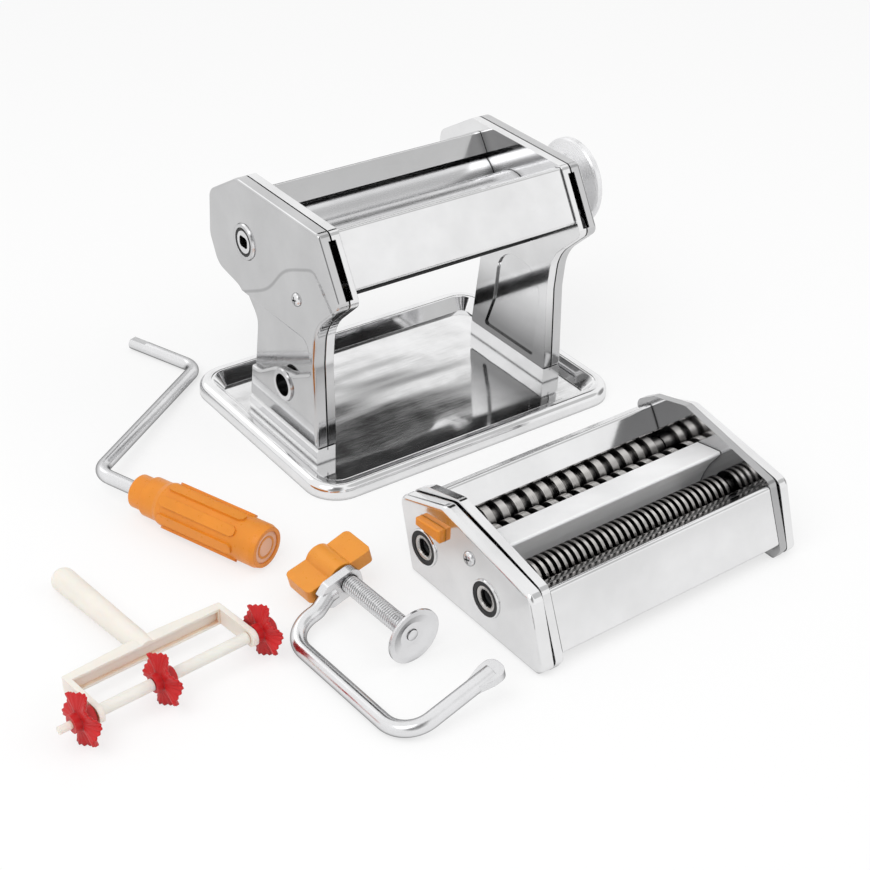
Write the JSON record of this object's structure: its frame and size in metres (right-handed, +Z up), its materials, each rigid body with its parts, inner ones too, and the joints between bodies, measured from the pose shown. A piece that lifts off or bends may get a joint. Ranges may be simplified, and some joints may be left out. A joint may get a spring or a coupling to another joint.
{
  "type": "pasta extruder with crank",
  "caption": "Hand cranked roller pasta machine on a tray base, with its crank, table clamp, cutter head and wheel cutter lying beside it.",
  "frame": {"origin": "centre of the machine's base plate on its underside, at the height of the table", "axes": "+X along the rollers towards the thickness dial, +Y to the machine's rear, +Z up"},
  "size_m": [0.4326, 0.3948, 0.1471],
  "materials": {
    "bright_steel": "polished stainless steel, bright",
    "tray_steel": "polished stainless steel, softly rippled",
    "rolled_steel": "fine brushed steel",
    "zinc_steel": "bright zinc plated steel",
    "dark_nylon": "black nylon",
    "orange_plastic": "glossy orange plastic",
    "cap_plastic": "pale orange plastic",
    "cream_plastic": "cream plastic",
    "red_plastic": "glossy red plastic",
    "cutter_steel": "machined steel rings",
    "gear_nylon": "dark nylon gear",
    "dial_steel": "satin silver metal"
  },
  "bodies": {
    "housing": {"base_plate": "tray_steel", "left_side_plate": "bright_steel", "right_side_plate": "bright_steel", "left_cover": "bright_steel", "right_cover": "bright_steel", "leg_shoes": "bright_steel", "front_guard": "bright_steel", "rear_guard": "bright_steel", "front_scraper": "dark_nylon", "rear_scraper": "dark_nylon", "tie_rods": "zinc_steel", "cover_screws": "zinc_steel", "drive_socket_ring": "zinc_steel", "drive_bush": "dark_nylon", "clamp_socket": "zinc_steel", "rear_bushes": "dark_nylon"},
    "drive": {"drive_roller": "rolled_steel", "drive_gear": "gear_nylon"},
    "carriage": {"roller_carriers": "zinc_steel"},
    "idler": {"front_roller": "rolled_steel", "front_gear": "gear_nylon"},
    "spindle": {"dial_spindle": "zinc_steel", "dial_cam": "zinc_steel"},
    "dial": {"dial_knob": "dial_steel", "dial_pin": "zinc_steel", "dial_spring": "zinc_steel"},
    "crank": {"crank_rod": "zinc_steel"},
    "grip": {"crank_grip": "orange_plastic", "grip_end_cap": "cap_plastic"},
    "clamp": {"clamp_frame": "zinc_steel"},
    "pad": {"clamp_pad": "zinc_steel"},
    "screw": {"clamp_screw": "zinc_steel", "clamp_wing_knob": "orange_plastic"},
    "cutter": {"cutter_left_plate": "bright_steel", "cutter_right_plate": "bright_steel", "cutter_left_cover": "bright_steel", "cutter_right_cover": "bright_steel", "cutter_rear_guide": "bright_steel", "cutter_ridge_guide": "bright_steel", "cutter_front_panel": "bright_steel", "wide_stripper": "dark_nylon", "narrow_stripper": "dark_nylon", "cutter_tie_rod": "zinc_steel", "cutter_screws": "zinc_steel", "cutter_socket_rings": "dark_nylon"},
    "wide_drive": {"wide_drive_roller": "cutter_steel", "wide_drive_gear": "gear_nylon"},
    "wide_mate": {"wide_mate_roller": "cutter_steel", "wide_mate_gear": "gear_nylon"},
    "narrow_drive": {"narrow_drive_roller": "cutter_steel", "narrow_drive_gear": "gear_nylon"},
    "narrow_mate": {"narrow_mate_roller": "cutter_steel", "narrow_mate_gear": "gear_nylon"},
    "latch": {"cutter_latch": "orange_plastic"},
    "tool": {"tool_handle": "cream_plastic", "tool_axle": "cream_plastic", "tool_spacers": "cream_plastic"},
    "wheel_left": {"tool_wheel_left": "red_plastic"},
    "wheel_middle": {"tool_wheel_middle": "red_plastic"},
    "wheel_right": {"tool_wheel_right": "red_plastic"}
  },
  "joints": [
    {"name": "drive_spin", "type": "hinge", "parent": "housing", "child": "drive", "pos_m": [0, 0.0332, 0.1114], "axis": [1, 0, 0], "continuous": true},
    {"name": "carriage_shift", "type": "slide", "parent": "housing", "child": "carriage", "axis": [0, -1, 0], "range_m": [0, 0.0025]},
    {"name": "idler_spin", "type": "hinge", "parent": "carriage", "child": "idler", "pos_m": [0, -0.0012, 0.1114], "axis": [1, 0, 0], "continuous": true},
    {"name": "dial_turn", "type": "hinge", "parent": "housing", "child": "spindle", "pos_m": [0.076, -0.0012, 0.1114], "axis": [1, 0, 0], "range_deg": [0, 180]},
    {"name": "dial_pull", "type": "slide", "parent": "spindle", "child": "dial", "axis": [1, 0, 0], "range_m": [0, 0.0045], "stiffness_N_per_m": 400, "springref_m": -0.002},
    {"name": "crank_lift", "type": "slide", "parent": "housing", "child": "crank", "axis": [0, 0, 1], "range_m": [0, 0.12]},
    {"name": "grip_spin", "type": "hinge", "parent": "crank", "child": "grip", "pos_m": [-0.19198, -0.02327, 0.0133], "axis": [0.3535, -0.9354, 0], "continuous": true},
    {"name": "clamp_lift", "type": "slide", "parent": "housing", "child": "clamp", "axis": [0, 0, 1], "range_m": [0, 0.12]},
    {"name": "pad_travel", "type": "slide", "parent": "clamp", "child": "pad", "axis": [-0.061, 0.9981, 0], "range_m": [0, 0.0225]},
    {"name": "screw_turn", "type": "hinge", "parent": "pad", "child": "screw", "pos_m": [-0.13969, -0.20598, 0.015], "axis": [-0.061, 0.9981, 0], "range_deg": [0, 5400]},
    {"name": "cutter_lift", "type": "slide", "parent": "housing", "child": "cutter", "axis": [0, 0, 1], "range_m": [0, 0.12]},
    {"name": "wide_drive_spin", "type": "hinge", "parent": "cutter", "child": "wide_drive", "pos_m": [-0.00999, -0.15651, 0.021], "axis": [0.9998, 0.022, 0], "continuous": true},
    {"name": "wide_mate_spin", "type": "hinge", "parent": "cutter", "child": "wide_mate", "pos_m": [-0.0096, -0.1745, 0.021], "axis": [0.9998, 0.022, 0], "continuous": true},
    {"name": "narrow_drive_spin", "type": "hinge", "parent": "cutter", "child": "narrow_drive", "pos_m": [-0.00887, -0.2073, 0.021], "axis": [0.9998, 0.022, 0], "continuous": true},
    {"name": "narrow_mate_spin", "type": "hinge", "parent": "cutter", "child": "narrow_mate", "pos_m": [-0.00848, -0.22529, 0.021], "axis": [0.9998, 0.022, 0], "continuous": true},
    {"name": "latch_press", "type": "slide", "parent": "cutter", "child": "latch", "axis": [0.9998, 0.022, 0], "range_m": [0, 0.003], "stiffness_N_per_m": 400, "springref_m": -0.002},
    {"name": "tool_lift", "type": "slide", "parent": "housing", "child": "tool", "axis": [0, 0, 1], "range_m": [0, 0.12]},
    {"name": "wheel_left_spin", "type": "hinge", "parent": "tool", "child": "wheel_left", "pos_m": [-0.29681, -0.17036, 0.014], "axis": [0.9962, 0.0872, 0], "continuous": true},
    {"name": "wheel_middle_spin", "type": "hinge", "parent": "tool", "child": "wheel_middle", "pos_m": [-0.25397, -0.16661, 0.014], "axis": [0.9962, 0.0872, 0], "continuous": true},
    {"name": "wheel_right_spin", "type": "hinge", "parent": "tool", "child": "wheel_right", "pos_m": [-0.19719, -0.16164, 0.014], "axis": [0.9962, 0.0872, 0], "continuous": true}
  ],
  "couplings": [
    {"joint": "idler_spin", "follows": "drive_spin", "ratio": -1},
    {"joint": "dial_turn", "follows": "carriage_shift", "rad_per_m": 1256.6},
    {"joint": "screw_turn", "follows": "pad_travel", "rad_per_m": 4188.8},
    {"joint": "wide_mate_spin", "follows": "wide_drive_spin", "ratio": -1},
    {"joint": "narrow_mate_spin", "follows": "narrow_drive_spin", "ratio": -1}
  ]
}
